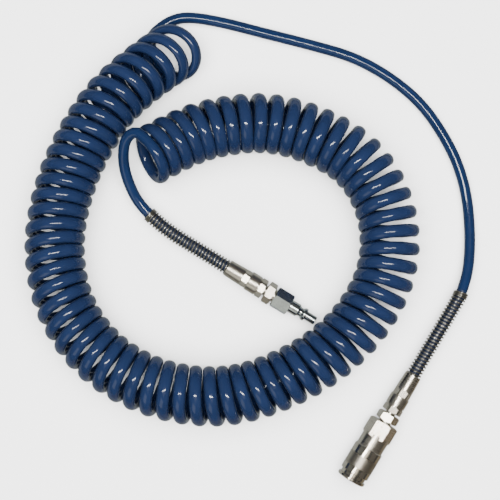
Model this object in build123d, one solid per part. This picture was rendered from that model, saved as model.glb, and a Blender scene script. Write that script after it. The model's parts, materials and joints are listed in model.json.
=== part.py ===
from build123d import *
import math
import os

# Coiled air hose, in millimetres. The hose lies on the ground (z = 0) in a ring, with a quick
# coupler on one end and a plug on the other. +Z is up, and the origin is below the middle of
# the whole hose as it lies.

# ---------------------------------------------------------------- clearances, all radial
RUNNING_CLEARANCE = 0.05        # swivels and guided parts
SLIDING_CLEARANCE = 0.10        # sleeve and balls
THREAD_CLEARANCE = 0.05         # between plain cylinders that stand for threads

# ---------------------------------------------------------------- hose
HOSE_OD = 10.0
HOSE_ID = 6.5
COIL_OD = 55.0
COIL_TURNS = 70
COILED_HOSE_THICKNESS = 8.8     # a tube flattens a little where it is coiled, across its bend

# Middle line of the coiled stretch, from the coupler's end to the plug's, as corners (x, y).
COIL_ROUTE = [
    (-62, 182.5), (-115, 146.5), (-148, 100.5), (-169, 52.5), (-178, 2.5), (-170, -48.5), (-143, -91.5),
    (-103, -119.5), (-58, -132.5), (-14, -132.5), (28, -118.5), (66, -97.5), (100, -65.5), (124, -20.5),
    (124, 31.5), (100, 77.5), (57, 102.5), (14, 113.5), (-26, 109.5), (-61, 98.5), (-91, 80.5),
]
# Middle lines of the straight ends, as corners (x, y, z), each up to its spring guard.
LYING = HOSE_OD / 2             # height of the middle line where the hose lies on the ground
COUPLER_TAIL_ROUTE = [
    (-93.5, 189.5, 18), (-87.5, 202, 8.5), (-74.5, 210.5, LYING), (-57, 211, LYING),
    (-28, 206.5, LYING), (12, 196, LYING), (56, 185, LYING), (94.5, 174, LYING),
    (127.5, 155.5, LYING), (155, 132.5, LYING), (175.5, 103.5, LYING), (190.5, 73, LYING),
    (198.5, 36.5, LYING), (199, -3, 7.5), (196.3, -25, 11.5),
]
PLUG_TAIL_ROUTE = [
    (-88, 84, 48), (-102, 105, 47.5), (-117, 99, 38.5), (-117.5, 77.5, 26.5),
    (-112.5, 58, 17.5), (-105.5, 39.5, 12.3),
]
BEND_SHARE = 0.45               # share of the shorter run that an arc takes

# ---------------------------------------------------------------- where the fittings lie
COUPLER_START = (146.9, -114.7)         # where the spring guard meets the union nut
COUPLER_HEADING = -121.1                # degrees from +X, from the hose to the mouth
PLUG_START = (-21.6, -17.3)
PLUG_HEADING = -31.4

# ---------------------------------------------------------------- hose ends
GUARD_WIRE = 1.6
GUARD_GAP = 0.4                 # radial, between hose and guard
GUARD_OD = HOSE_OD + 2 * (GUARD_WIRE + GUARD_GAP)
GUARD_PITCH = 3.1
GUARD_LENGTH = 85.0             # outside the nut
GUARD_SEAT = 4.5                # inside the nut
GUARD_LEAD = 6.0                # straight hose behind the guard, before the first bend
NUT_LENGTH = 22.5
NUT_WALL = 0.55                 # round the guard
NUT_FLARE = 1.2                 # the nut is a little wider at its front
NUT_REAR_OD = GUARD_OD + 2 * (THREAD_CLEARANCE + NUT_WALL)
NUT_FRONT_OD = NUT_REAR_OD + NUT_FLARE
NUT_HEX = NUT_FRONT_OD - 1.4
NUT_HEX_LENGTH = 6.2
HOSE_STOP = 15.5                # how far the hose goes into the nut
STEM_THREAD = HOSE_OD + 2.6
BARB_GRIP = 0.1                 # the hose's bore is stretched over the barb in use
BARB_OD = HOSE_ID - BARB_GRIP
BARB_START = 2.0
BARB_WALL = 0.9
FLOW_BORE = BARB_OD - 2 * BARB_WALL
COLLAR_OD = NUT_FRONT_OD + 1.7
COLLAR_LENGTH = 10.0
COLLAR_GROOVE = 0.8
STEM_HEX = COLLAR_OD - 1.1
STEM_HEX_LENGTH = 5.8
STEM_HEX_TURNED = STEM_HEX + 1.4        # diameter to which the hexagon's corners are turned down

JOURNAL_WALL = 2.3
JOURNAL_OD = FLOW_BORE + 2 * JOURNAL_WALL
JOURNAL_LENGTH = 12.0
SWIVEL_NECK = 2.0
STUD_HEX = 18.0
STUD_HEX_LENGTH = 7.4
STUD_RELIEF = 1.8               # undercut between hexagon and thread
STUD_RELIEF_OD = 11.8
STUD_THREAD = 12.8              # G 1/4 at the root of the coupling part's thread
STUD_THREAD_LENGTH = 9.5
COUPLER_STUD_TURN = 12.0        # degrees from a flat facing up
PLUG_STUD_TURN = -6.0

CLIP_FROM_NECK = 3.5            # back from the stem's front face
CLIP_THICKNESS = 0.9
CLIP_ID = JOURNAL_OD - 1.2
CLIP_OD = JOURNAL_OD + 1.2
ORING_FROM_NECK = 8.0
ORING_SECTION = 1.1

# ---------------------------------------------------------------- plug
PLUG_HEX = 18.0
PLUG_HEX_LENGTH = 16.3
PLUG_HEX_TURN = 20.0            # degrees from a flat facing up, so that an edge is almost on top
PLUG_THREAD_DEPTH = 11.0
PLUG_SHOULDER_OD = 11.9
PLUG_SHOULDER_LENGTH = 8.8
PLUG_GROOVE_OD = 8.4
PLUG_GROOVE_LENGTH = 5.2
PLUG_RIDGE_OD = PLUG_SHOULDER_OD
PLUG_RIDGE_LENGTH = 2.6
PLUG_NOSE_OD = 7.95
PLUG_NOSE_LENGTH = 10.2
PLUG_BORE = 5.0

# ---------------------------------------------------------------- quick coupler
REAR_BODY_OD = 25.0
COUPLER_HEX = REAR_BODY_OD - 1.0
COUPLER_HEX_LENGTH = 16.3
COUPLER_HEX_TURN = 7.0
REAR_BODY_LENGTH = 30.0
THREAD_DEPTH = 11.0
PASSAGE_OD = 10.0
CHAMBER_START = 13.0
CHAMBER_ID = 14.5
BARREL_START = 20.0
BARREL_THREAD = 20.0
BARREL_FRONT = 58.5
VALVE_SEAT = 33.0
NOSE_BORE = PLUG_NOSE_OD + 0.15
SOCKET_START = 45.4
SOCKET_BORE = PLUG_RIDGE_OD + 0.1
SOCKET_MOUTH = SOCKET_BORE + 0.4        # wider in front of the balls, to lead the plug in
SOCKET_CHAMFER = 0.8
NOSE_SEAL_START = 41.8
NOSE_SEAL_LENGTH = 2.8
NOSE_SEAL_GROOVE = NOSE_BORE + 3.1
NOSE_SEAL_LIP = NOSE_BORE - 0.3
BODY_ORING_POSITION = 28.4
BODY_ORING_SECTION = 1.0

BALL_COUNT = 6
BALL_DIAMETER = 3.5
BALL_PLANE = 50.0
BALL_BITE = 0.85                # how far a locked ball reaches in behind the plug's ridge
BALL_TRAVEL = 1.0
BALL_LIP = 0.2                  # thickness of the lip that keeps a ball from falling in
BALL_RADIUS = BALL_DIAMETER / 2
BALL_REACH = PLUG_RIDGE_OD / 2 - BALL_BITE
BALL_CENTRE = BALL_REACH + BALL_RADIUS
BARREL_OD = 2 * BALL_CENTRE + BALL_DIAMETER

SLEEVE_START = 27.2
SLEEVE_LENGTH = 33.0
SLEEVE_SKIRT_ID = REAR_BODY_OD + 0.3
SLEEVE_WALL = 0.95
SLEEVE_OD = SLEEVE_SKIRT_ID + 2 * SLEEVE_WALL
SLEEVE_LAND_START = 45.0
SLEEVE_TRAVEL = 5.0
SLEEVE_FRONT_ID = BARREL_OD + 2.6
SLEEVE_BAND_START = 8.8         # stations from the sleeve's rear edge
SLEEVE_BAND_END = 19.6
SLEEVE_NECK_START = 26.2
SLEEVE_NECK_OD = SLEEVE_OD - 3.4
SLEEVE_LIP_START = 29.9
SLEEVE_LIP_OD = SLEEVE_OD - 0.4
SLEEVE_GROOVE_WIDTH = 0.6
SLEEVE_GROOVE_DEPTH = 0.3
STOP_RING_GAP = 0.1
STOP_RING_THICKNESS = 1.0
STOP_RING_OD = SLEEVE_FRONT_ID - 0.4
STOP_RING_ID = BARREL_OD - 1.0
SLEEVE_SPRING_WIRE = 1.3
SLEEVE_SPRING_DIAMETER = (BARREL_OD + SLEEVE_SKIRT_ID) / 2      # at the middle of the wire
SLEEVE_SPRING_TURNS = 5

POPPET_TRAVEL = 4.0
POPPET_HEAD_OD = CHAMBER_ID - 1.9
POPPET_HEAD_LENGTH = 3.0
POPPET_BOSS_OD = POPPET_HEAD_OD - 2.2
POPPET_BOSS_LENGTH = 1.5
POPPET_NOSE_OD = NOSE_BORE - 0.2
POPPET_NOSE_LENGTH = 6.8        # in front of the valve seat
POPPET_BORE = 5.0
POPPET_PORT = 2.6
POPPET_PORTS = 4
VALVE_SEAL_THICKNESS = 1.0
VALVE_SPRING_DIAMETER = CHAMBER_ID - 2.5
VALVE_SPRING_WIRE = 0.9
VALVE_SPRING_TURNS = 6

# ---------------------------------------------------------------- worked out from the above
STEM_FRONT = NUT_LENGTH + COLLAR_LENGTH + COLLAR_GROOVE + STEM_HEX_LENGTH
STUD_HEX_START = STEM_FRONT + SWIVEL_NECK
TOOL_START = STUD_HEX_START + STUD_HEX_LENGTH + STUD_RELIEF     # rear face of coupler and plug
COUPLER_HEIGHT = SLEEVE_OD / 2
PLUG_HEIGHT = PLUG_HEX / math.sqrt(3)
RAMP_SLOPE = BALL_TRAVEL / SLEEVE_TRAVEL        # the balls rise this much along the sleeve's ramp
LAND_ID = 2 * (BALL_CENTRE + BALL_RADIUS * math.hypot(1, RAMP_SLOPE) + SLIDING_CLEARANCE)
LAND_END = BALL_PLANE + BALL_RADIUS + 1.15
RAMP_END = LAND_ID / 2 + RAMP_SLOPE * (LAND_END - BALL_PLANE)
MOUTH_START = BALL_PLANE + BALL_RADIUS + 0.15
POPPET_HEAD_START = VALVE_SEAT - VALVE_SEAL_THICKNESS - POPPET_HEAD_LENGTH


def turned(*outline):
    """A body of revolution about Z from its half outline, as corners (radius, z)."""
    face = make_face(Polyline(*outline, close=True))
    return revolve(Plane.XZ * face, Axis.Z)


def drum(diameter, start, end):
    """A plain cylinder on Z between two heights."""
    return Pos(0, 0, start) * Cylinder(
        diameter / 2, end - start, align=(Align.CENTER, Align.CENTER, Align.MIN)
    )


def hexagon(across_flats, start, end, turn=0.0, turned_to=None):
    """A hexagonal prism on Z with a flat facing +X, turned by some degrees, its corners
    chamfered at both ends and turned down to a diameter where one is given."""
    corner = across_flats / math.sqrt(3)
    limit = corner if turned_to is None else turned_to / 2
    sketch = RegularPolygon(across_flats / 2, 6, major_radius=False, rotation=30 + turn)
    prism = extrude(Pos(0, 0, start) * sketch, amount=end - start)
    flat = across_flats / 2 - 0.1
    slope = (limit - flat) * 0.58
    envelope = turned(
        (0, start), (flat, start), (limit, start + slope), (limit, end - slope), (flat, end), (0, end)
    )
    return prism & envelope


def oring(middle_diameter, section, height):
    """A closed ring of round section about Z."""
    return Pos(0, 0, height) * Torus(middle_diameter / 2, section / 2)


def coil_spring(middle_diameter, wire, start, end, turns):
    """A round wire spring about Z whose wire lies between two heights."""
    height = end - start - wire
    path = Pos(0, 0, start + wire / 2) * Helix(height / turns, height, middle_diameter / 2)
    section = Plane(origin=path @ 0, z_dir=path % 0) * Circle(wire / 2)
    return sweep(section, path=path, is_frenet=True)


def fitting_place(start, heading, height):
    """Where a fitting's own Z axis lies: level, with its local X facing up."""
    angle = math.radians(heading)
    direction = (math.cos(angle), math.sin(angle), 0)
    return Plane(origin=(*start, height), x_dir=(0, 0, 1), z_dir=direction).location


def rounded_path(corners):
    """Straight runs joined by tangent arcs, and the arcs' radii."""
    points = [Vector(*corner) for corner in corners]
    radii = []
    for before, corner, after in zip(points, points[1:], points[2:]):
        incoming = corner - before
        outgoing = after - corner
        half_turn = math.radians(incoming.get_angle(outgoing)) / 2
        shorter = min(incoming.length, outgoing.length)
        radii.append(BEND_SHARE * shorter / math.tan(half_turn))
    return FilletPolyline(*points, radius=radii), radii


def tube(path, outer, inner):
    """A hollow tube along a path."""
    plane = Plane(origin=path @ 0, z_dir=path % 0)
    section = plane * (Circle(outer / 2) - Circle(inner / 2))
    return sweep(section, path=path)


def hose_lengths():
    """Length and volume of hose in the coiled stretch."""
    path, radii = rounded_path([(x, y, COIL_OD / 2) for x, y in COIL_ROUTE])
    pitch = path.length / COIL_TURNS
    around = math.pi * (COIL_OD - COILED_HOSE_THICKNESS)
    length = COIL_TURNS * math.hypot(around, pitch)
    volume = length * math.pi / 4 * (HOSE_OD**2 - HOSE_ID**2)
    return path, radii, length, volume


def coiled_stretch():
    """The coil as one fat tube, whose wall holds as much material as the coiled hose."""
    path, radii, length, volume = hose_lengths()
    inner = math.sqrt(COIL_OD**2 - 4 * volume / (math.pi * path.length))
    print(f"coil: {length:.0f} mm of hose, smallest arc {min(radii):.0f}, bore {inner:.1f}")
    return tube(path, COIL_OD, inner)


def straight_end(name, corners, fitting):
    """One straight end of the hose, through its guard and up to its stop inside the union nut."""
    entry = (fitting * Pos(0, 0, -GUARD_LENGTH - GUARD_LEAD)).position
    stop = (fitting * Pos(0, 0, HOSE_STOP)).position
    back = (entry - stop).normalized()
    behind = [corner for corner in corners if (Vector(*corner) - entry).dot(back) > GUARD_LEAD]
    path, radii = rounded_path(behind + [tuple(entry), tuple(stop)])
    solid = tube(path, HOSE_OD, HOSE_ID)
    expected = path.length * math.pi / 4 * (HOSE_OD**2 - HOSE_ID**2)
    listed = ", ".join(f"{radius:.0f}" for radius in radii)
    print(f"{name}: {path.length:.0f} mm, radii {listed}; volume {solid.volume / expected:.3f}")
    return solid


def spring_guard():
    """The wire guard over the hose, its last turns inside the nut."""
    turns = round((GUARD_LENGTH + GUARD_SEAT - GUARD_WIRE) / GUARD_PITCH)
    return coil_spring(GUARD_OD - GUARD_WIRE, GUARD_WIRE, -GUARD_LENGTH, GUARD_SEAT, turns)


def union_nut():
    """The nut over hose and guard, with a short hexagon at its front."""
    hex_start = NUT_LENGTH - NUT_HEX_LENGTH
    rear = NUT_REAR_OD / 2
    front = NUT_FRONT_OD / 2
    body = turned((0, 0), (rear - 0.4, 0), (rear, 0.4), (front, hex_start), (0, hex_start))
    body += hexagon(NUT_HEX, hex_start, NUT_LENGTH, turned_to=NUT_FRONT_OD)
    body -= drum(GUARD_OD + 2 * THREAD_CLEARANCE, 0, GUARD_SEAT + 0.3)
    body -= drum(HOSE_OD + 0.3, 0, HOSE_STOP)
    body -= drum(STEM_THREAD + 2 * THREAD_CLEARANCE, HOSE_STOP, NUT_LENGTH)
    return body


def hose_stem():
    """Barb, thread, collar and hexagon, with the swivel's bore in its front."""
    collar_end = NUT_LENGTH + COLLAR_LENGTH
    hex_start = collar_end + COLLAR_GROOVE
    collar = COLLAR_OD / 2
    groove = collar - COLLAR_GROOVE
    body = turned(
        (0, BARB_START), (BARB_OD / 2 - 0.5, BARB_START), (BARB_OD / 2, BARB_START + 2),
        (BARB_OD / 2, HOSE_STOP), (STEM_THREAD / 2, HOSE_STOP), (STEM_THREAD / 2, NUT_LENGTH),
        (collar - 0.3, NUT_LENGTH), (collar, NUT_LENGTH + 0.3), (collar, collar_end - 0.3),
        (collar - 0.3, collar_end), (groove, collar_end), (groove, hex_start), (0, hex_start),
    )
    body += hexagon(STEM_HEX, hex_start, STEM_FRONT, turned_to=STEM_HEX_TURNED)
    body -= drum(FLOW_BORE, 0, STEM_FRONT)
    body -= drum(JOURNAL_OD + 2 * RUNNING_CLEARANCE, STEM_FRONT - JOURNAL_LENGTH - 0.4, STEM_FRONT)
    clip = STEM_FRONT - CLIP_FROM_NECK
    body -= drum(CLIP_OD + 2 * SLIDING_CLEARANCE, clip - 0.1, clip + CLIP_THICKNESS + 0.1)
    return body


def swivel_stud(turn):
    """Journal, hexagon and thread, with grooves for the seal and the clip."""
    journal = JOURNAL_OD / 2
    hex_end = STUD_HEX_START + STUD_HEX_LENGTH
    thread_end = TOOL_START + STUD_THREAD_LENGTH
    start = STEM_FRONT - JOURNAL_LENGTH
    seal = STEM_FRONT - ORING_FROM_NECK
    clip = STEM_FRONT - CLIP_FROM_NECK
    seal_floor = journal - ORING_SECTION
    clip_floor = CLIP_ID / 2 - RUNNING_CLEARANCE
    body = turned(
        (0, start), (journal - 0.5, start), (journal, start + 0.5),
        (journal, seal - 0.8), (seal_floor, seal - 0.8), (seal_floor, seal + 0.8), (journal, seal + 0.8),
        (journal, clip - 0.05), (clip_floor, clip - 0.05),
        (clip_floor, clip + CLIP_THICKNESS + 0.05), (journal, clip + CLIP_THICKNESS + 0.05),
        (journal, STUD_HEX_START), (0, STUD_HEX_START),
    )
    body += hexagon(STUD_HEX, STUD_HEX_START, hex_end, turn)
    body += drum(STUD_RELIEF_OD, hex_end, TOOL_START)
    thread = STUD_THREAD / 2
    body += turned(
        (0, TOOL_START), (thread, TOOL_START), (thread, thread_end - 0.8),
        (thread - 0.8, thread_end), (0, thread_end),
    )
    return body - drum(FLOW_BORE, start, thread_end)


def swivel_clip():
    """Ring that holds the journal in the stem."""
    start = STEM_FRONT - CLIP_FROM_NECK
    end = start + CLIP_THICKNESS
    return drum(CLIP_OD, start, end) - drum(CLIP_ID, start, end)


def swivel_oring():
    """Seal in the journal's groove."""
    middle = JOURNAL_OD + RUNNING_CLEARANCE - ORING_SECTION
    return oring(middle, ORING_SECTION - 0.02, STEM_FRONT - ORING_FROM_NECK)


def hose_end(side, place, stud_turn):
    """The six pieces that both ends of the hose have."""
    pieces = {
        "spring_guard": spring_guard(),
        "union_nut": union_nut(),
        "hose_stem": hose_stem(),
        "swivel_stud": swivel_stud(stud_turn),
        "swivel_clip": swivel_clip(),
        "swivel_oring": swivel_oring(),
    }
    return {f"{side}_{name}": place * piece for name, piece in pieces.items()}


def rear_body():
    """Hexagon and round body with the thread, the valve chamber and the barrel's seat."""
    body = hexagon(COUPLER_HEX, 0, COUPLER_HEX_LENGTH, COUPLER_HEX_TURN)
    body += drum(REAR_BODY_OD, COUPLER_HEX_LENGTH - 3, REAR_BODY_LENGTH)
    body -= drum(STUD_THREAD + 2 * THREAD_CLEARANCE, 0, THREAD_DEPTH)
    body -= drum(PASSAGE_OD, THREAD_DEPTH, CHAMBER_START)
    body -= drum(CHAMBER_ID, CHAMBER_START, BARREL_START)
    body -= drum(BARREL_THREAD + 2 * THREAD_CLEARANCE, BARREL_START, REAR_BODY_LENGTH)
    return body


def ball_holes():
    """Radial holes through the barrel, narrower at the socket so that no ball falls in."""
    lip = SOCKET_BORE / 2 + BALL_LIP
    reach_at_lip = BALL_CENTRE - lip
    seat = math.sqrt(BALL_RADIUS**2 - reach_at_lip**2) + 0.03
    wide = BALL_RADIUS + SLIDING_CLEARANCE
    bottom = (Align.CENTER, Align.CENTER, Align.MIN)
    narrow = Cylinder(seat, BARREL_OD, align=bottom)
    hole = narrow + Pos(0, 0, lip) * Cylinder(wide, BARREL_OD, align=bottom)
    outward = Pos(0, 0, BALL_PLANE) * Rot(0, 90, 0) * hole
    return [Rot(0, 0, 360 / BALL_COUNT * number) * outward for number in range(BALL_COUNT)]


def barrel():
    """Front body: thread, valve seat, nose bore, socket and ball holes."""
    thread = BARREL_THREAD / 2
    outer = BARREL_OD / 2
    socket = SOCKET_BORE / 2
    mouth = SOCKET_MOUTH / 2
    nose = NOSE_BORE / 2
    groove = NOSE_SEAL_GROOVE / 2
    chamber = CHAMBER_ID / 2
    seal_end = NOSE_SEAL_START + NOSE_SEAL_LENGTH
    ring_start = LAND_END + STOP_RING_GAP
    ring_floor = STOP_RING_ID / 2 - THREAD_CLEARANCE
    oring_floor = thread - BODY_ORING_SECTION - 0.05
    body = turned(
        (chamber, BARREL_START), (thread, BARREL_START),
        (thread, BODY_ORING_POSITION - 0.8), (oring_floor, BODY_ORING_POSITION - 0.8),
        (oring_floor, BODY_ORING_POSITION + 0.8), (thread, BODY_ORING_POSITION + 0.8),
        (thread, REAR_BODY_LENGTH), (outer, REAR_BODY_LENGTH),
        (outer, ring_start - 0.05), (ring_floor, ring_start - 0.05),
        (ring_floor, ring_start + STOP_RING_THICKNESS + 0.05),
        (outer, ring_start + STOP_RING_THICKNESS + 0.05),
        (outer, BARREL_FRONT - 0.5), (outer - 0.5, BARREL_FRONT),
        (mouth + SOCKET_CHAMFER, BARREL_FRONT), (mouth, BARREL_FRONT - SOCKET_CHAMFER),
        (mouth, MOUTH_START), (socket, MOUTH_START), (socket, SOCKET_START), (nose, SOCKET_START),
        (nose, seal_end), (groove, seal_end),
        (groove, NOSE_SEAL_START), (nose, NOSE_SEAL_START), (nose, VALVE_SEAT), (chamber, VALVE_SEAT),
    )
    for hole in ball_holes():
        body -= hole
    return body


def nose_seal():
    """Lip ring in its groove round the nose bore."""
    groove = NOSE_SEAL_GROOVE / 2 - 0.02
    start = NOSE_SEAL_START + 0.05
    end = NOSE_SEAL_START + NOSE_SEAL_LENGTH - 0.05
    bore = NOSE_BORE / 2 + 0.15
    lip = NOSE_SEAL_LIP / 2 + 0.15
    middle = (start + end) / 2
    return turned((groove, start), (groove, end), (bore, end), (lip, middle), (bore, start))


def stop_ring():
    """Snap ring in the barrel's groove, in front of the sleeve's land."""
    start = LAND_END + STOP_RING_GAP
    end = start + STOP_RING_THICKNESS
    return drum(STOP_RING_OD, start, end) - drum(STOP_RING_ID, start, end)


def locking_sleeve():
    """Sleeve with a spring space, a land and a ramp over the balls, a recess and a grip lip."""
    rear = SLEEVE_START
    outer = SLEEVE_OD / 2
    band = rear + SLEEVE_BAND_START
    band_end = rear + SLEEVE_BAND_END
    neck = rear + SLEEVE_NECK_START
    lip = rear + SLEEVE_LIP_START
    end = rear + SLEEVE_LENGTH
    half = SLEEVE_GROOVE_WIDTH / 2
    floor = outer - SLEEVE_GROOVE_DEPTH
    skirt = SLEEVE_SKIRT_ID / 2
    neck_radius = SLEEVE_NECK_OD / 2
    lip_radius = SLEEVE_LIP_OD / 2
    return turned(
        (skirt, rear), (outer - 0.5, rear), (outer, rear + 0.5),
        (outer, band - half), (floor, band), (outer, band + half),
        (outer, band_end - half), (floor, band_end), (outer, band_end + half),
        (outer, neck - 0.6), (outer - 0.6, neck), (neck_radius, neck + 0.4),
        (neck_radius, lip - 0.5), (lip_radius - 0.2, lip), (lip_radius, lip + 0.3),
        (lip_radius, end - 0.9), (lip_radius - 0.9, end), (SLEEVE_FRONT_ID / 2, end),
        (SLEEVE_FRONT_ID / 2, LAND_END), (RAMP_END, LAND_END), (LAND_ID / 2, BALL_PLANE),
        (LAND_ID / 2, SLEEVE_LAND_START), (skirt, SLEEVE_LAND_START),
    )


def locking_balls():
    """The balls in the barrel's holes, reaching into the socket."""
    ball = Pos(BALL_CENTRE, 0, BALL_PLANE) * Sphere(BALL_RADIUS)
    turns = [360 / BALL_COUNT * number for number in range(BALL_COUNT)]
    return {f"locking_ball_{number}": Rot(0, 0, turn) * ball for number, turn in enumerate(turns, 1)}


def poppet():
    """Valve body: spring boss, head, and a hollow nose with ports that the plug pushes back."""
    head = POPPET_HEAD_START
    head_end = head + POPPET_HEAD_LENGTH
    tip = VALVE_SEAT + POPPET_NOSE_LENGTH
    boss = head - POPPET_BOSS_LENGTH
    nose = POPPET_NOSE_OD / 2
    body = turned(
        (0, boss), (POPPET_BOSS_OD / 2, boss), (POPPET_BOSS_OD / 2, head),
        (POPPET_HEAD_OD / 2, head), (POPPET_HEAD_OD / 2, head_end), (nose, head_end),
        (nose, tip - 0.3), (nose - 0.3, tip), (0, tip),
    )
    body -= drum(POPPET_BORE, head_end, tip)
    port = Pos(0, 0, VALVE_SEAT + 1.8) * Rot(0, 90, 0) * Cylinder(POPPET_PORT / 2, POPPET_NOSE_OD + 1)
    for number in range(POPPET_PORTS // 2):
        body -= Rot(0, 0, 180 / (POPPET_PORTS // 2) * number) * port
    return body


def valve_seal():
    """Washer between the poppet's head and the valve seat."""
    start = VALVE_SEAT - VALVE_SEAL_THICKNESS
    bore = POPPET_NOSE_OD + 2 * RUNNING_CLEARANCE
    return drum(POPPET_HEAD_OD, start, VALVE_SEAT) - drum(bore, start, VALVE_SEAT)


def quick_coupler(place):
    """All pieces of the coupler, placed."""
    pieces = {
        "coupler_rear_body": rear_body(),
        "coupler_barrel": barrel(),
        "coupler_body_oring": oring(
            BARREL_THREAD - BODY_ORING_SECTION - 0.05, BODY_ORING_SECTION, BODY_ORING_POSITION
        ),
        "nose_seal": nose_seal(),
        "sleeve_stop_ring": stop_ring(),
        "locking_sleeve": locking_sleeve(),
        "sleeve_spring": coil_spring(
            SLEEVE_SPRING_DIAMETER, SLEEVE_SPRING_WIRE, REAR_BODY_LENGTH, SLEEVE_LAND_START,
            SLEEVE_SPRING_TURNS,
        ),
        "valve_poppet": poppet(),
        "valve_seal": valve_seal(),
        "valve_spring": coil_spring(
            VALVE_SPRING_DIAMETER, VALVE_SPRING_WIRE, CHAMBER_START, POPPET_HEAD_START,
            VALVE_SPRING_TURNS,
        ),
    }
    pieces.update(locking_balls())
    rear_face = place * Pos(0, 0, TOOL_START)
    return {name: rear_face * piece for name, piece in pieces.items()}


def plug_nipple(place):
    """Hexagon with thread, then shoulder, groove, ridge and nose."""
    shoulder = PLUG_HEX_LENGTH + PLUG_SHOULDER_LENGTH
    ridge = shoulder + PLUG_GROOVE_LENGTH
    nose = ridge + PLUG_RIDGE_LENGTH
    tip = nose + PLUG_NOSE_LENGTH
    shoulder_radius = PLUG_SHOULDER_OD / 2
    groove_radius = PLUG_GROOVE_OD / 2
    ridge_radius = PLUG_RIDGE_OD / 2
    nose_radius = PLUG_NOSE_OD / 2
    body = hexagon(PLUG_HEX, 0, PLUG_HEX_LENGTH, PLUG_HEX_TURN)
    body += turned(
        (0, PLUG_HEX_LENGTH), (shoulder_radius, PLUG_HEX_LENGTH), (shoulder_radius, shoulder - 0.3),
        (shoulder_radius - 0.3, shoulder), (groove_radius + 0.8, shoulder), (groove_radius, shoulder + 1.6),
        (groove_radius, ridge - 1.6), (ridge_radius - 0.2, ridge), (ridge_radius, ridge + 0.4),
        (ridge_radius, nose - 0.6), (ridge_radius - 0.3, nose), (nose_radius, nose),
        (nose_radius, tip - 0.6), (nose_radius - 0.4, tip), (0, tip),
    )
    body -= drum(STUD_THREAD + 2 * THREAD_CLEARANCE, 0, PLUG_THREAD_DEPTH)
    body -= drum(PLUG_BORE, 0, tip)
    return place * Pos(0, 0, TOOL_START) * body


def build():
    """Every node of the hose by name."""
    coupler_place = fitting_place(COUPLER_START, COUPLER_HEADING, COUPLER_HEIGHT)
    plug_place = fitting_place(PLUG_START, PLUG_HEADING, PLUG_HEIGHT)
    nodes = {
        "coil": coiled_stretch(),
        "coupler_tail": straight_end("coupler_tail", COUPLER_TAIL_ROUTE, coupler_place),
        "plug_tail": straight_end("plug_tail", PLUG_TAIL_ROUTE, plug_place),
    }
    nodes.update(hose_end("coupler", coupler_place, COUPLER_STUD_TURN))
    nodes.update(quick_coupler(coupler_place))
    nodes.update(hose_end("plug", plug_place, PLUG_STUD_TURN))
    nodes["plug_nipple"] = plug_nipple(plug_place)
    return nodes


os.makedirs("parts", exist_ok=True)
for node, solid in build().items():
    solid.label = node
    export_step(solid, f"parts/{node}.step")
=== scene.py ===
# %% [markdown]
# # A coiled air hose with its quick coupler and plug
# The hose is one length of plastic tube, wound into 70 turns by the factory and laid in a ring on
# the ground. Its two straight ends carry metal fittings. The fittings arrive as finished solids
# and only need their metals. The hose and the wire guards are made here, because they are soft
# or springy and their true turns are what the eye reads first.

# %% Set up
import json
import math

import bpy
from mathutils import Matrix, Vector


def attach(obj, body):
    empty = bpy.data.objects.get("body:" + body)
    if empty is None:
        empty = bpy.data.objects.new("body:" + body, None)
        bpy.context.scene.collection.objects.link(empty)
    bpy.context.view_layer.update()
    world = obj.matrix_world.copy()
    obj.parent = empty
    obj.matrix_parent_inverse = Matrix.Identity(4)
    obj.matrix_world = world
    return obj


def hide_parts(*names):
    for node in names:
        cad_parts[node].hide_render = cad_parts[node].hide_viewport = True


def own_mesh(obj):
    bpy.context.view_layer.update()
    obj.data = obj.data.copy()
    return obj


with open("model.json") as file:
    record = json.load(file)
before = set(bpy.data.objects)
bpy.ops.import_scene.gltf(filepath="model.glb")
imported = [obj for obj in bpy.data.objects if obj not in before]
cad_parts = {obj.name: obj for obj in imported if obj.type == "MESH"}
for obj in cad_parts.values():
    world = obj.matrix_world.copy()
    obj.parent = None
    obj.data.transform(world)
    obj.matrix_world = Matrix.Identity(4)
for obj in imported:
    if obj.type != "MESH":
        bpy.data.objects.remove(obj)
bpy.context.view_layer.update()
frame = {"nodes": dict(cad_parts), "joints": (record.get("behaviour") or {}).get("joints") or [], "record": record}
nodes = frame["nodes"]
joints = {joint["name"]: joint for joint in frame["joints"]}

# %% [markdown]
# ## Camera
# The hose is looked at from straight above, from about 1.3 metres, so its near parts look a
# little larger than the ground. A camera that isn't turned at all looks down with +Y up.

# %% Camera
CAMERA_HEIGHT = 1.3
camera_data = bpy.data.cameras.new("camera")
camera_data.sensor_width = 36
camera_data.lens = 102.3
camera = bpy.data.objects.new("camera", camera_data)
camera.location = (-0.001, -0.0015, CAMERA_HEIGHT)
bpy.context.scene.collection.objects.link(camera)
bpy.context.scene.camera = camera
print("camera at", tuple(round(value, 4) for value in camera.location))

# %% [markdown]
# ## The fittings' own axes
# Every ring, thread and guard on a fitting is about the fitting's own line. The two swivel
# joints lie on those lines, so their places and axes give them.

# %% Fitting axes
STEM_FRONT = 0.0391             # from a union nut's rear edge to its swivel
HOSE_STOP = 0.0155              # how far the hose goes into the nut
TOOL_START = 0.0503             # from the nut's rear edge to the rear of the coupler or plug


def fitting_axis(joint_name):
    """The point at the union nut's rear edge, and the direction towards the mouth."""
    direction = Vector(joints[joint_name]["axis"]).normalized()
    return Vector(joints[joint_name]["pos_m"]) - STEM_FRONT * direction, direction


coupler_start, coupler_axis = fitting_axis("coupler_swivel")
plug_start, plug_axis = fitting_axis("plug_swivel")
print("coupler axis", tuple(round(value, 3) for value in coupler_axis))

# %% [markdown]
# ## The hose's line
# A hose that lies on the ground runs in easy curves. Each stretch is described by a few points
# that a NURBS curve passes near, which gives one smooth line with no corners. Reading the curve
# back as a mesh gives points along it that other shapes can follow.

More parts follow.
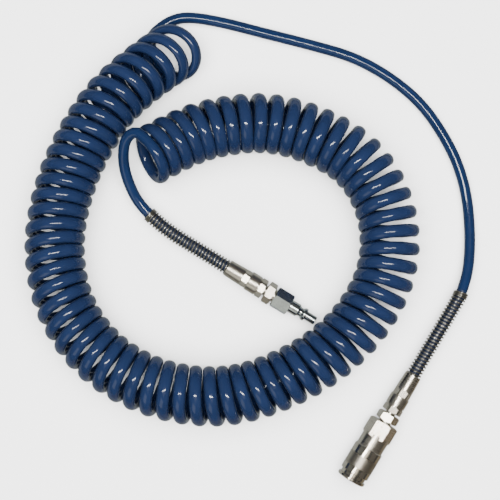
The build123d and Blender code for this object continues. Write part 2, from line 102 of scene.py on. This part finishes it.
# %% A smooth line through a few points
def smooth_line(name, corners, steps=12):
    """Points along the NURBS curve that has the corners as its control points."""
    curve = bpy.data.curves.new(name, "CURVE")
    curve.dimensions = "3D"
    spline = curve.splines.new("NURBS")
    spline.points.add(len(corners) - 1)
    for point, corner in zip(spline.points, corners):
        point.co = (*corner, 1)
    spline.order_u = 3
    spline.use_endpoint_u = True
    curve.resolution_u = steps
    holder = bpy.data.objects.new(name, curve)
    bpy.context.scene.collection.objects.link(holder)
    mesh = bpy.data.meshes.new_from_object(holder)
    line = [vertex.co.copy() for vertex in mesh.vertices]
    bpy.data.meshes.remove(mesh)
    bpy.data.objects.remove(holder)
    bpy.data.curves.remove(curve)
    return line


def line_length(line):
    """Length of a line of points."""
    return sum((after - before).length for before, after in zip(line, line[1:]))


def evenly(line, spacing):
    """The same line with points at an even spacing."""
    count = max(2, round(line_length(line) / spacing))
    step = line_length(line) / count
    result = [line[0].copy()]
    wanted = step
    travelled = 0.0
    for before, after in zip(line, line[1:]):
        run = (after - before).length
        while travelled + run >= wanted and len(result) < count:
            result.append(before.lerp(after, (wanted - travelled) / run))
            wanted += step
        travelled += run
    result.append(line[-1].copy())
    return result


def between(table, position):
    """The value at a position in a table of (position, value) pairs."""
    for (start, first), (end, last) in zip(table, table[1:]):
        if position <= end:
            share = (position - start) / (end - start)
            return first + share * (last - first)
    return table[-1][1]


# %% [markdown]
# ## The coil's turns
# The factory winds the tube round a bar. Laid in a ring, the turns no longer stand upright.
# Those at the coupler's end have fallen back almost flat, and most lean by a few degrees. So the
# coil's middle line is drawn first, and each turn is then wound round it with its own lean.

# %% The coil's middle line
COIL_ROUTE = [
    (-0.062, 0.1825), (-0.115, 0.1465), (-0.148, 0.1005), (-0.169, 0.0525), (-0.178, 0.0025),
    (-0.170, -0.0485), (-0.143, -0.0915), (-0.103, -0.1195), (-0.058, -0.1325), (-0.014, -0.1325),
    (0.028, -0.1185), (0.066, -0.0975), (0.100, -0.0655), (0.124, -0.0205), (0.124, 0.0315),
    (0.100, 0.0775), (0.057, 0.1025), (0.014, 0.1135), (-0.026, 0.1097), (-0.061, 0.0998),
    (-0.0965, 0.0797),
]
COIL_SPACING = 0.002
coil_line = evenly(smooth_line("coil_line", [(x, y, 0) for x, y in COIL_ROUTE]), COIL_SPACING)
print(f"the coil's middle line is {line_length(coil_line):.3f} m long")

# %% [markdown]
# ## The turns
# A Screw modifier makes a helix in one go, but every turn of it would be the same. A real coil
# that has been handled is uneven, and that is what makes it look real. So three short tables say
# how the turns lean, swing and spread along the ring, and a loop reads a value for each point.

# %% How the turns lean and spread
COIL_RADIUS = 0.0231            # from the middle line to the middle of the tube
COIL_TURNS = 70
STEPS_PER_TURN = 20
CORNER_CUT = 0.992              # a smooth line's radius as a share of its corners' radius
TURNS_START = 0.25              # where the first turn takes over from the coupler's end
TURNS_LEFT = 0.15               # of the last turn, where the plug's end takes over
LEAN = [                        # degrees that a turn's top leans towards the plug's end
    (0, -70), (1, -54), (2, -41), (4, -26), (8, -12), (25, -8), (36, 0), (47, 8), (54, 8),
    (60, 0), (66, -10), (69, -22), (70, -26),
]
SWING = [                       # degrees that a turn's outer side is ahead of its inner side
    (0, 4), (6, 5), (10, 1), (15, 4), (20, 6), (25, 3), (30, 0), (44, 0), (54, -5), (62, -6),
    (66, 0), (70, 0),
]
PLACES = [                      # metres along the middle line to a turn's start
    (0, 0.003), (1, 0.0142), (3, 0.0394), (6, 0.0798), (9, 0.1192), (15, 0.1963), (18, 0.2361),
    (24, 0.3196), (30, 0.4038), (39, 0.528), (48, 0.6525), (57, 0.7808), (63, 0.864), (70, 0.9567),
]
REST_HEIGHT = 0.0050            # the tube's middle above the ground, under a turn


def along(line, distance):
    """The point and direction at a distance along a line of even points."""
    spacing = line_length(line[:2])
    index = min(int(distance / spacing), len(line) - 2)
    share = distance / spacing - index
    return line[index].lerp(line[index + 1], share), (line[index + 1] - line[index]).normalized()


def wound(start_turn, end_turn):
    """Points of the tube's middle as it winds round the coil's middle line."""
    points = []
    first = math.ceil(start_turn * STEPS_PER_TURN)
    last = math.floor(end_turn * STEPS_PER_TURN)
    for step in range(first, last + 1):
        turn = step / STEPS_PER_TURN
        centre, forward = along(coil_line, between(PLACES, turn))
        turned = Matrix.Rotation(math.radians(between(SWING, turn)), 3, "Z") @ forward
        outward = Vector((turned.y, -turned.x, 0))
        lean = math.radians(between(LEAN, turn))
        up = Vector((0, 0, math.cos(lean))) + math.sin(lean) * turned
        centre.z = REST_HEIGHT + COIL_RADIUS * math.cos(lean)
        around = 2 * math.pi * turn
        offset = math.cos(around) * outward - math.sin(around) * up
        points.append(centre + COIL_RADIUS / CORNER_CUT * offset)
    return points


turns = wound(TURNS_START, COIL_TURNS - TURNS_LEFT)
print("points in the turns:", len(turns))

# %% [markdown]
# ## The straight ends
# The coupler's end leaves the ring beside the first turn and lies on the ground in one long
# bend. The plug's end comes over the last turn, drops inside the ring and runs to the plug.
# Ends and turns are points of one curve, so the hose has no joint where they meet.

# %% The whole hose as one line
HOSE_SPACING = 0.0042           # between the rings of the tube
COUPLER_TAIL = [
    (-0.0925, 0.1835, 0.0055), (-0.091, 0.1935, 0.0052), (-0.0825, 0.2015, 0.005),
    (-0.071, 0.2085, 0.005), (-0.057, 0.211, 0.005),
    (-0.028, 0.2065, 0.005), (0.012, 0.196, 0.005), (0.056, 0.185, 0.005), (0.0945, 0.174, 0.005),
    (0.1275, 0.1555, 0.005), (0.155, 0.1325, 0.005), (0.1755, 0.1035, 0.005), (0.1905, 0.073, 0.005),
    (0.1988, 0.0365, 0.005), (0.1992, -0.012, 0.008), (0.1915, -0.0395, 0.0125),
    (0.1825, -0.0545, 0.0136),
]
PLUG_TAIL = [
    (-0.102, 0.1045, 0.043), (-0.1125, 0.097, 0.038), (-0.115, 0.0775, 0.027),
    (-0.111, 0.0595, 0.0175), (-0.1015, 0.0395, 0.0115), (-0.0775, 0.017, 0.0104),
    (-0.046, -0.0021, 0.0104),
]
coupler_stop = coupler_start + HOSE_STOP * coupler_axis
plug_stop = plug_start + HOSE_STOP * plug_axis
corners = [coupler_stop] + [Vector(point) for point in reversed(COUPLER_TAIL)]
corners += turns + [Vector(point) for point in PLUG_TAIL] + [plug_stop]
hose_line = evenly(smooth_line("hose_line", corners), HOSE_SPACING)
HOSE_LENGTH = line_length(hose_line)
print(f"hose: {HOSE_LENGTH:.2f} m in {len(hose_line)} points")

# %% [markdown]
# ## The tube
# A bevelled curve can only be round, but a tube that is wound flattens a little across its bend,
# to an oval. So rings of points are placed round the line, wider along the coil than across it,
# and joined by faces. The same helpers also make every spring.

# %% Rings along a line
HOSE_OD = 0.010
HOSE_ID = 0.0065
OVAL_WIDTH = 0.0115             # of a wound tube, along the coil
OVAL_THICKNESS = 0.0085         # across its bend


def frames(line):
    """Direction and a steady side direction at each point of a line."""
    ahead = [after - before for before, after in zip(line, line[1:])]
    middle = [before + after for before, after in zip(ahead, ahead[1:])]
    ahead = [direction.normalized() for direction in (ahead[0], *middle, ahead[-1])]
    side = ahead[0].orthogonal().normalized()
    result = []
    for direction in ahead:
        side = (side - side.dot(direction) * direction).normalized()
        result.append((direction, side))
    return result


def ring(centre, direction, side, radius, count, bend=None, thickness=None):
    """Points round a line, oval where a bend direction and a thickness across it are given."""
    other = direction.cross(side)
    points = []
    for number in range(count):
        angle = 2 * math.pi * number / count
        away = math.cos(angle) * side + math.sin(angle) * other
        reach = radius
        if bend is not None:
            across = away.dot(bend)
            flat = (across / thickness) ** 2 + (1 - across * across) / radius**2
            reach = 1 / math.sqrt(flat)
        points.append(centre + reach * away)
    return points


def skinned(name, rings):
    """A closed mesh from rings of equally many points, its ends filled."""
    count = len(rings[0])
    vertices = [point for loop in rings for point in loop]
    faces = []
    for row in range(len(rings) - 1):
        for number in range(count):
            after = (number + 1) % count
            first = row * count
            second = first + count
            faces.append((first + number, first + after, second + after, second + number))
    faces.append(tuple(reversed(range(count))))
    last = (len(rings) - 1) * count
    faces.append(tuple(range(last, last + count)))
    mesh = bpy.data.meshes.new(name)
    mesh.from_pydata([tuple(point) for point in vertices], [], faces)
    mesh.validate()
    for polygon in mesh.polygons:
        polygon.use_smooth = True
    piece = bpy.data.objects.new(name, mesh)
    bpy.context.scene.collection.objects.link(piece)
    return piece


# %% [markdown]
# ## The hose itself
# The oval fades to a round tube over a short stretch at each end of the coil. Each end has a real
# bore, because the fitting's barb goes into it. For each ring two shares are noted, how far it is
# wound and whether a guard covers it, and the paint reads them later.

# %% The hose
SIDES = 18
FADE = 0.05                     # over which the wound tube turns round
GUARD_REACH = 0.0875            # of a spring guard, outside the nut
BORE_DEPTH = 0.0140
hose_frames = frames(hose_line)
TAIL_END = line_length(smooth_line("coupler_tail", corners[: len(COUPLER_TAIL) + 1]))
PLUG_TAIL_LENGTH = line_length(smooth_line("plug_tail", corners[-len(PLUG_TAIL) - 1 :]))


def wound_share(distance):
    """1 in the turns, 0 in the straight ends, with a soft change between."""
    into = (distance - TAIL_END) / FADE
    out_of = (HOSE_LENGTH - PLUG_TAIL_LENGTH - distance) / FADE
    return max(0.0, min(1.0, into, out_of))


def covered_share(distance):
    """1 under a spring guard, 0 elsewhere."""
    from_end = min(distance, HOSE_LENGTH - distance)
    return float(from_end < HOSE_STOP + GUARD_REACH)


def hose_rings():
    """Rings of the hose, with a bore sunk into both ends."""
    spacing = HOSE_LENGTH / (len(hose_line) - 1)
    rings = []
    shares = []
    covers = []
    for index, (centre, (direction, side)) in enumerate(zip(hose_line, hose_frames)):
        share = wound_share(index * spacing)
        covers.append(covered_share(index * spacing))
        bend = None
        thickness = HOSE_OD / 2
        if share > 0:
            before = hose_line[index - 2]
            after = hose_line[index + 2]
            bend = (before + after - 2 * centre).normalized()
            thickness += share * (OVAL_THICKNESS - HOSE_OD) / 2
        radius = (HOSE_OD + share * (OVAL_WIDTH - HOSE_OD)) / 2
        rings.append(ring(centre, direction, side, radius, SIDES, bend, thickness))
        shares.append(share)
    first_direction, first_side = hose_frames[0]
    last_direction, last_side = hose_frames[-1]
    bore = HOSE_ID / 2
    start = hose_line[0]
    end = hose_line[-1]
    inside = [
        ring(start + BORE_DEPTH * first_direction, first_direction, first_side, bore, SIDES),
        ring(start, first_direction, first_side, bore, SIDES),
    ]
    outside = [
        ring(end, last_direction, last_side, bore, SIDES),
        ring(end - BORE_DEPTH * last_direction, last_direction, last_side, bore, SIDES),
    ]
    ends = [0.0, 0.0]
    return inside + rings + outside, ends + shares + ends, ends + covers + ends


rings, shares, covers = hose_rings()
hose = skinned("hose", rings)
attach(hose, "hose")
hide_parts("coil", "coupler_tail", "plug_tail")
print("hose faces:", len(hose.data.polygons))

# %% [markdown]
# ## The wire guards
# A spring of round wire keeps the hose from kinking where it enters the nut. It could be a
# straight helix that a Curve modifier bends, but it is simpler to wind it round the hose's own
# line, which it follows on the real thing. The last turns at its free end touch each other, as
# on any spring that ends square.

# %% Wire guards
WIRE = 0.0016
GUARD_RADIUS = 0.0062           # to the middle of the wire
GUARD_PITCH = 0.0031
GUARD_SEAT = 0.0040             # inside the nut
CLOSED_TURNS = 3
CLOSED_PITCH = 1.04 * WIRE
WIRE_STEPS = 18                 # points in one turn of a spring
WIRE_SIDES = 8
FINE_SPACING = 0.001            # between the points of a line that wire is wound about
COUPLER_STRETCH = 80            # points of the hose's line near the coupler
PLUG_STRETCH = 52               # and near the plug


def wire_helix(name, line, radius, wire, pitches):
    """Round wire wound about a line. pitches gives each turn's advance, in metres."""
    line = evenly(line, FINE_SPACING)
    line_frames = frames(line)
    spacing = line_length(line[:2])
    centres = []
    distance = wire / 2
    for pitch in pitches:
        for step in range(WIRE_STEPS):
            index = min(int(distance / spacing), len(line) - 2)
            centre = line[index].lerp(line[index + 1], distance / spacing - index)
            direction, side = line_frames[index]
            angle = 2 * math.pi * step / WIRE_STEPS
            centres.append(centre + radius * Matrix.Rotation(angle, 3, direction) @ side)
            distance += pitch / WIRE_STEPS
    rows = [
        ring(centre, direction, side, wire / 2, WIRE_SIDES)
        for centre, (direction, side) in zip(centres, frames(centres))
    ]
    return skinned(name, rows)


def guard(name, line):
    """A wire guard over the hose's end, from its free end to its seat in the nut."""
    length = GUARD_REACH + GUARD_SEAT
    count = round(length / FINE_SPACING)
    stretch = evenly(line, FINE_SPACING)[-count:]
    open_length = length - WIRE - CLOSED_TURNS * CLOSED_PITCH
    open_turns = round(open_length / GUARD_PITCH)
    pitches = [CLOSED_PITCH] * CLOSED_TURNS + [open_length / open_turns] * open_turns
    return wire_helix(name, stretch, GUARD_RADIUS, WIRE, pitches)


def ending_at(line, distance):
    """The line cut back by a distance from its end."""
    even = evenly(line, FINE_SPACING)
    return even[: len(even) - round(distance / FINE_SPACING)]


near_coupler = list(reversed(hose_line[:COUPLER_STRETCH]))
near_plug = hose_line[-PLUG_STRETCH:]
inside_nut = HOSE_STOP - GUARD_SEAT
coupler_guard = guard("coupler_wire_guard", ending_at(near_coupler, inside_nut))
plug_guard = guard("plug_wire_guard", ending_at(near_plug, inside_nut))
for side, piece in (("coupler", coupler_guard), ("plug", plug_guard)):
    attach(piece, "hose")
    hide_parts(f"{side}_spring_guard")
    print(piece.name, len(piece.data.polygons), "faces")

# %% [markdown]
# ## How high the hose lies
# The hose is soft, and the solids that stand for it are not. Its line's highest point is printed.

print(f"the highest point of the hose's line is {max(point.z for point in hose_line):.4f} m up")

# %% [markdown]
# ## The springs inside the coupler
# One pushes the sleeve forward and one shuts the valve. Each is squeezed when its piece slides
# back.

# %% Inner springs
def inner_spring(name, node, radius, wire, start, end, turn_count):
    """A spring about the coupler's axis, between two distances from the coupler's rear."""
    rear = coupler_start + TOOL_START * coupler_axis
    line = [rear + start * coupler_axis, rear + end * coupler_axis]
    pitch = (end - start - wire) / turn_count
    piece = wire_helix(name, line, radius, wire, [pitch] * turn_count)
    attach(piece, "coupler")
    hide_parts(node)
    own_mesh(piece)
    print(piece.name, "from", start, "to", end)
    return piece


sleeve_coil = inner_spring(
    "sleeve_coil_spring", "sleeve_spring", radius=0.0106, wire=0.0013,
    start=0.0300, end=0.0449, turn_count=5,
)
valve_coil = inner_spring(
    "valve_coil_spring", "valve_spring", radius=0.0060, wire=0.0009,
    start=0.0130, end=0.0289, turn_count=6,
)

# %% [markdown]
# ## Shader maths
# A pattern is arithmetic on a few numbers that vary over the surface. The class wraps such a
# number, so that a + b in Python adds the matching Math node.

# %% Numbers and paints
class Amount:
    """A number that varies over a surface."""

    def __init__(self, paint, socket):
        self.paint = paint
        self.socket = socket

    def maths(self, operation, *values):
        return self.paint.number("ShaderNodeMath", {"operation": operation}, *values)

    def __add__(self, other):
        return self.maths("ADD", self, other)

    def __radd__(self, other):
        return self.maths("ADD", other, self)

    def __sub__(self, other):
        return self.maths("SUBTRACT", self, other)

    def __rsub__(self, other):
        return self.maths("SUBTRACT", other, self)

    def __mul__(self, other):
        return self.maths("MULTIPLY", self, other)

    def __rmul__(self, other):
        return self.maths("MULTIPLY", other, self)

    def __truediv__(self, other):
        return self.maths("DIVIDE", self, other)

    def __gt__(self, other):
        return self.maths("GREATER_THAN", self, other)

    def __lt__(self, other):
        return self.maths("LESS_THAN", self, other)

    def triangle(self, period):
        return self.maths("PINGPONG", self, period / 2) / (period / 2)


class Paint:
    """A material being made."""

    def __init__(self, name, roughness, metallic=0.0):
        self.material = bpy.data.materials.new(name)
        self.material.use_nodes = True
        self.tree = self.material.node_tree
        self.shader = self.tree.nodes["Principled BSDF"]
        self.shader.inputs["Roughness"].default_value = roughness
        self.shader.inputs["Metallic"].default_value = metallic

    def put(self, socket, value):
        """Link a varying value to a socket, or set a constant one."""
        if isinstance(value, Amount):
            value = value.socket
        if isinstance(value, bpy.types.NodeSocket):
            self.tree.links.new(value, socket)
        else:
            socket.default_value = value

    def node(self, kind, settings, *values, **named):
        """Any node, from its type, its settings and its sockets' values in order or by name."""
        made = self.tree.nodes.new(kind)
        for key, value in settings.items():
            if key == "stops":
                self.stops(made.color_ramp, value)
            else:
                setattr(made, key, value)
        for socket, value in zip(made.inputs, values):
            self.put(socket, value)
        for key, value in named.items():
            self.put(made.inputs[key.replace("_", " ")], value)
        return made

    def stops(self, ramp, stops):
        while len(ramp.elements) < len(stops):
            ramp.elements.new(1)
        for element, (position, colour) in zip(ramp.elements, stops):
            element.position = position
            element.color = colour

    def number(self, kind, settings, *values):
        return Amount(self, self.node(kind, settings, *values).outputs[0])

    def place(self):
        """The point's place on the object."""
        return self.node("ShaderNodeTexCoord", {}).outputs["Object"]

    def along(self, vector, direction):
        """How far a vector reaches in a direction."""
        made = self.node(
            "ShaderNodeVectorMath", {"operation": "DOT_PRODUCT"}, vector, tuple(direction))
        return Amount(self, made.outputs["Value"])

    def noise(self, scale, detail=3, roughness=0.5, vector=None):
        made = self.node(
            "ShaderNodeTexNoise", {}, Vector=vector or self.place(), Scale=scale, Detail=detail,
            Roughness=roughness,
        )
        return Amount(self, made.outputs["Fac"])

    def mixed(self, share, first, second):
        """One colour fading to another. A Mix node's colour sockets are 6, 7 and output 2."""
        made = self.node("ShaderNodeMix", {"data_type": "RGBA"})
        self.put(made.inputs["Factor"], share)
        self.put(made.inputs[6], first)
        self.put(made.inputs[7], second)
        return made.outputs[2]

    def bump(self, height, distance, strength=1.0):
        made = self.node("ShaderNodeBump", {}, Height=height, Distance=distance, Strength=strength)
        self.put(self.shader.inputs["Normal"], made.outputs[0])

    def finish(self, **named):
        """Set the shader's own sockets, and give back the material."""
        for key, value in named.items():
            self.put(self.shader.inputs[key.replace("_", " ")], value)
        return self.material


# %% [markdown]
# ## The hose's plastic
# Polyurethane tube is glossy and dyed dark blue. The straight ends lie in the open, where they
# catch more light than the turns do, so their blue is painted a little deeper, as painted shade.
# Under the guards the tube is rougher, and its blue is painted darker there as painted shade from
# the wire. Both shares are stored on the mesh, so the colour follows the hose and not the room.

# %% Blue polyurethane
plastic = Paint("blue_polyurethane", 0.16)


def share_on_hose(name, values):
    """Store a share for each ring of the hose, and read it back in the paint."""
    layer = hose.data.attributes.new(name, "FLOAT", "POINT")
    for number, value in enumerate(values):
        for corner in range(SIDES):
            layer.data[number * SIDES + corner].value = value
    made = plastic.node("ShaderNodeAttribute", {"attribute_name": name})
    return Amount(plastic, made.outputs["Fac"])


wound_value = share_on_hose("wound", shares)
covered = share_on_hose("covered", covers)
cloud = plastic.noise(70, 2)
# The straight ends' blue is painted darker than the turns' blue, as painted shade for the light they catch.
straight_blue = plastic.mixed(cloud, (0.0028, 0.0076, 0.024, 1), (0.0043, 0.0118, 0.038, 1))
wound_blue = plastic.mixed(cloud, (0.0043, 0.0086, 0.025, 1), (0.0064, 0.0133, 0.039, 1))
colour = plastic.mixed(wound_value, straight_blue, wound_blue)
# Under the guards the blue is painted darker, as painted shade from the wire over it.
colour = plastic.mixed(covered, colour, (0.003, 0.006, 0.016, 1))
fine = plastic.noise(900, 2)
broad = plastic.noise(120, 2)
plastic.bump(fine * 0.25 + broad, 0.0004, 0.25)
edge = Amount(plastic, plastic.node("ShaderNodeLayerWeight", {}, 0.4).outputs["Facing"])
gloss = 0.07 + 0.06 * fine + 0.25 * edge * edge + 0.45 * covered
hose.data.materials.append(plastic.finish(Base_Color=colour, Roughness=gloss))
print("hose painted")

# %% [markdown]
# ## Distances along a fitting and round it
# Turning marks, knurls and polish follow a fitting's own axis, and no fitting lies along X or Y.
# A Mapping node could turn the coordinates, but here the axis is already known as a vector. A dot
# product with it gives the distance along the fitting, and two more give the angle round it.

# %% Fitting coordinates
KNURLS_ROUND = 140              # in one turn of the sleeve
KNURL_PITCH = 0.0006


def fitting_place(paint, start, axis):
    """Metres from the coupler's or plug's rear face: along its axis, up and to the side."""
    rear = start + TOOL_START * axis
    up = Vector((0, 0, 1))
    offset = paint.node(
        "ShaderNodeVectorMath", {"operation": "SUBTRACT"}, paint.place(), tuple(rear)).outputs[0]
    return [paint.along(offset, direction) for direction in (axis, up, axis.cross(up))]


def turning_marks(paint, distance):
    """Noise that only changes along the fitting, so that it makes fine rings."""
    stretched = paint.node("ShaderNodeCombineXYZ", {}, distance * 9000, 0.0, 0.0).outputs[0]
    return paint.noise(1.0, 2, 0.6, stretched)


def turned_metal(name, start, axis, first, second, roughness):
    """Metal off a lathe: fine rings about its axis, with soft stains."""
    paint = Paint(name, roughness, metallic=1.0)
    fine_rings = turning_marks(paint, fitting_place(paint, start, axis)[0])
    colour = paint.mixed(paint.noise(160, 4), first, second)
    paint.bump(fine_rings, 0.000003, 0.5)
    return paint.finish(Base_Color=colour, Roughness=roughness - 0.05 + 0.1 * fine_rings)


def knurled_sleeve(start, axis, band_start, band_end):
    """The sleeve's metal: polished, with a fine knurled band for the fingers."""
    paint = Paint("knurled_nickel", 0.2, metallic=1.0)
    distance, up, side = fitting_place(paint, start, axis)
    angle = paint.number("ShaderNodeMath", {"operation": "ARCTAN2"}, up, side)
    in_band = (distance > band_start) * (distance < band_end)
    turn = angle * (KNURLS_ROUND / (2 * math.pi))
    rise = distance / KNURL_PITCH
    knurl = (turn + rise).triangle(1.0) * (turn - rise).triangle(1.0)
    stain = paint.noise(160, 4)
    polished = paint.mixed(stain, (0.58, 0.53, 0.44, 1), (0.74, 0.69, 0.59, 1))
    # The knurl's grooves are painted darker than its crests, as painted shade in the grooves.
    band_with_groove_shade = paint.mixed(knurl, (0.42, 0.38, 0.31, 1), (0.72, 0.67, 0.58, 1))
    colour = paint.mixed(in_band, polished, band_with_groove_shade)
    fine_rings = turning_marks(paint, distance)
    paint.bump(in_band * knurl * 4 + (1 - in_band) * fine_rings * 0.3, 0.00001, 0.6)
    return paint.finish(Base_Color=colour, Roughness=0.18 + 0.16 * in_band)


# %% [markdown]
# ## Metals and rubber
# The coupler and the hose ends are nickel plated, which is a warm, slightly yellow grey. The plug's
# nipple is zinc plated and looks cooler. The valve is bare brass, the springs and clips are drawn
# wire, the balls are bearing steel and the seals are black nitrile. Each is one short function or
# one call, and the slot that each solid was given chooses its finish.

# %% Metals and rubber
nickel_dark = (0.56, 0.51, 0.42, 1)
nickel_light = (0.74, 0.69, 0.59, 1)
zinc_dark = (0.46, 0.50, 0.50, 1)
zinc_light = (0.66, 0.70, 0.68, 1)
coupler_nickel = turned_metal(
    "coupler_nickel", coupler_start, coupler_axis, nickel_dark, nickel_light, 0.27)
plug_nickel = turned_metal("plug_nickel", plug_start, plug_axis, nickel_dark, nickel_light, 0.3)
zinc = turned_metal("zinc_plated_steel", plug_start, plug_axis, zinc_dark, zinc_light, 0.24)
brass = turned_metal(
    "valve_brass", coupler_start, coupler_axis, (0.70, 0.48, 0.20, 1), (0.82, 0.60, 0.28, 1), 0.28)
sleeve_metal = knurled_sleeve(coupler_start, coupler_axis, band_start=0.0360, band_end=0.0468)


def spring_steel():
    """Drawn wire, dark with a little bronze."""
    paint = Paint("spring_steel", 0.3, metallic=1.0)
    stain = paint.noise(260, 3)
    colour = paint.mixed(stain, (0.30, 0.29, 0.25, 1), (0.58, 0.55, 0.47, 1))
    paint.bump(paint.noise(2500, 2), 0.00002, 0.5)
    return paint.finish(Base_Color=colour, Roughness=0.24 + 0.14 * stain)


def ball_steel():
    """Polished bearing steel."""
    paint = Paint("ball_steel", 0.1, metallic=1.0)
    stain = paint.noise(500, 2)
    colour = paint.mixed(stain, (0.62, 0.62, 0.63, 1), (0.74, 0.74, 0.75, 1))
    return paint.finish(Base_Color=colour)


def seal_rubber():
    """Black nitrile."""
    paint = Paint("seal_rubber", 0.5)
    grain = paint.noise(1500, 3)
    colour = paint.mixed(grain, (0.012, 0.012, 0.013, 1), (0.03, 0.03, 0.032, 1))
    paint.bump(grain, 0.00003, 0.5)
    return paint.finish(Base_Color=colour, Roughness=0.42 + 0.2 * grain)


wire_steel = spring_steel()
balls_metal = ball_steel()
rubber = seal_rubber()
FINISHES = {
    "plated_brass": coupler_nickel, "bare_brass": brass, "plated_steel": zinc,
    "spring_wire": wire_steel, "ball_steel": balls_metal, "seal": rubber,
}
slots = {part["node"]: part["material_slot"] for part in frame["record"]["subparts"]}
for name, node in nodes.items():
    metal = FINISHES.get(slots[name], coupler_nickel)
    if slots[name] == "plated_brass" and name.startswith("plug"):
        metal = plug_nickel
    if name == "locking_sleeve":
        metal = sleeve_metal
    node.data.materials.clear()
    node.data.materials.append(metal)
for piece in (coupler_guard, plug_guard, sleeve_coil, valve_coil):
    piece.data.materials.append(wire_steel)
print("painted", len(nodes), "solids")

# %% [markdown]
# ## Floor
# The hose lies on a plain, pale floor. Reflections don't see it, for the reason that the next
# cell gives.

# %% Floor
bpy.ops.object.select_all(action="DESELECT")
bpy.ops.mesh.primitive_plane_add(size=8, location=(0, 0, -0.0002))
floor = bpy.context.object
floor.name = "floor"
floor.visible_glossy = False
floor_paint = Paint("pale_floor", 0.9)
floor.data.materials.append(floor_paint.finish(Base_Color=(0.93, 0.93, 0.93, 1)))
print("floor", round(floor.dimensions.x), "m across")

# %% [markdown]
# ## What the metal mirrors
# Polished metal shows the room. A shiny surface that faces the ground would mirror a white
# sheet and vanish against it, so reflections see a dim card below instead of the floor. It is
# pale and cool on most sides and brown towards the front right, which tells a fitting's two
# sides apart.

# %% Card for reflections
bpy.ops.mesh.primitive_plane_add(size=8, location=(0, 0, -0.5))
card = bpy.context.object
card.name = "reflection_card"
card.visible_camera = False
card.visible_diffuse = False
card.visible_shadow = False
card_paint = Paint("two_tone_card", 1.0)
across = card_paint.along(card_paint.place(), (0.5, -0.86, 0))
tones = [(0.45, (0.50, 0.53, 0.52, 1)), (0.95, (0.29, 0.25, 0.19, 1))]
glow = card_paint.node("ShaderNodeValToRGB", {"stops": tones}, across)
card_paint.shader.inputs["Emission Strength"].default_value = 1.0
card.data.materials.append(
    card_paint.finish(Base_Color=(0, 0, 0, 1), Emission_Color=glow.outputs["Color"]))
print("card in", len(tones), "tones")

# %% [markdown]
# ## Lights
# The soft light is wide and strong, and it is hidden from reflections, or it would fill the metal
# with white. A long narrow strip draws the thin white glints on the turns. The window and three
# weak lights at the sides, each a little tinted, are what else the metal and the tube mirror.

# %% Lights
def area_light(name, place, size_x, size_y, power, colour=(1, 1, 1), mirrored=True):
    """A rectangular light that faces the hose. One that isn't mirrored is soft fill only."""
    data = bpy.data.lights.new(name, "AREA")
    data.shape = "RECTANGLE"
    data.size = size_x
    data.size_y = size_y
    data.energy = power
    data.color = colour
    light = bpy.data.objects.new(name, data)
    light.location = place
    light.rotation_euler = Vector(place).to_track_quat("Z", "Y").to_euler()
    light.visible_glossy = mirrored
    bpy.context.scene.collection.objects.link(light)
    return light


area_light("strip", (0, 0, 1.7), 1.2, 0.06, 25)
area_light("window", (0.15, -0.2, 1.9), 1.2, 0.8, 2.0, colour=(1, 0.90, 0.74))
area_light("side", (-0.95, -1.6, 1.45), 1.4, 1.4, 6.0, colour=(1, 1, 0.90))
area_light("left_card", (-1.7, 1.0, 1.2), 1.8, 1.6, 0.9, colour=(0.92, 1, 0.92))
area_light("right_card", (1.7, -1.0, 1.2), 1.8, 1.6, 0.7, colour=(1, 0.9, 0.75))
area_light("soft", (0, 0, 2.4), 3.2, 3.2, 330, mirrored=False)
world = bpy.data.worlds.new("studio")
bpy.context.scene.world = world
world.use_nodes = True
world.node_tree.nodes["Background"].inputs["Color"].default_value = (1, 1, 1, 1)
world.node_tree.nodes["Background"].inputs["Strength"].default_value = 0.07
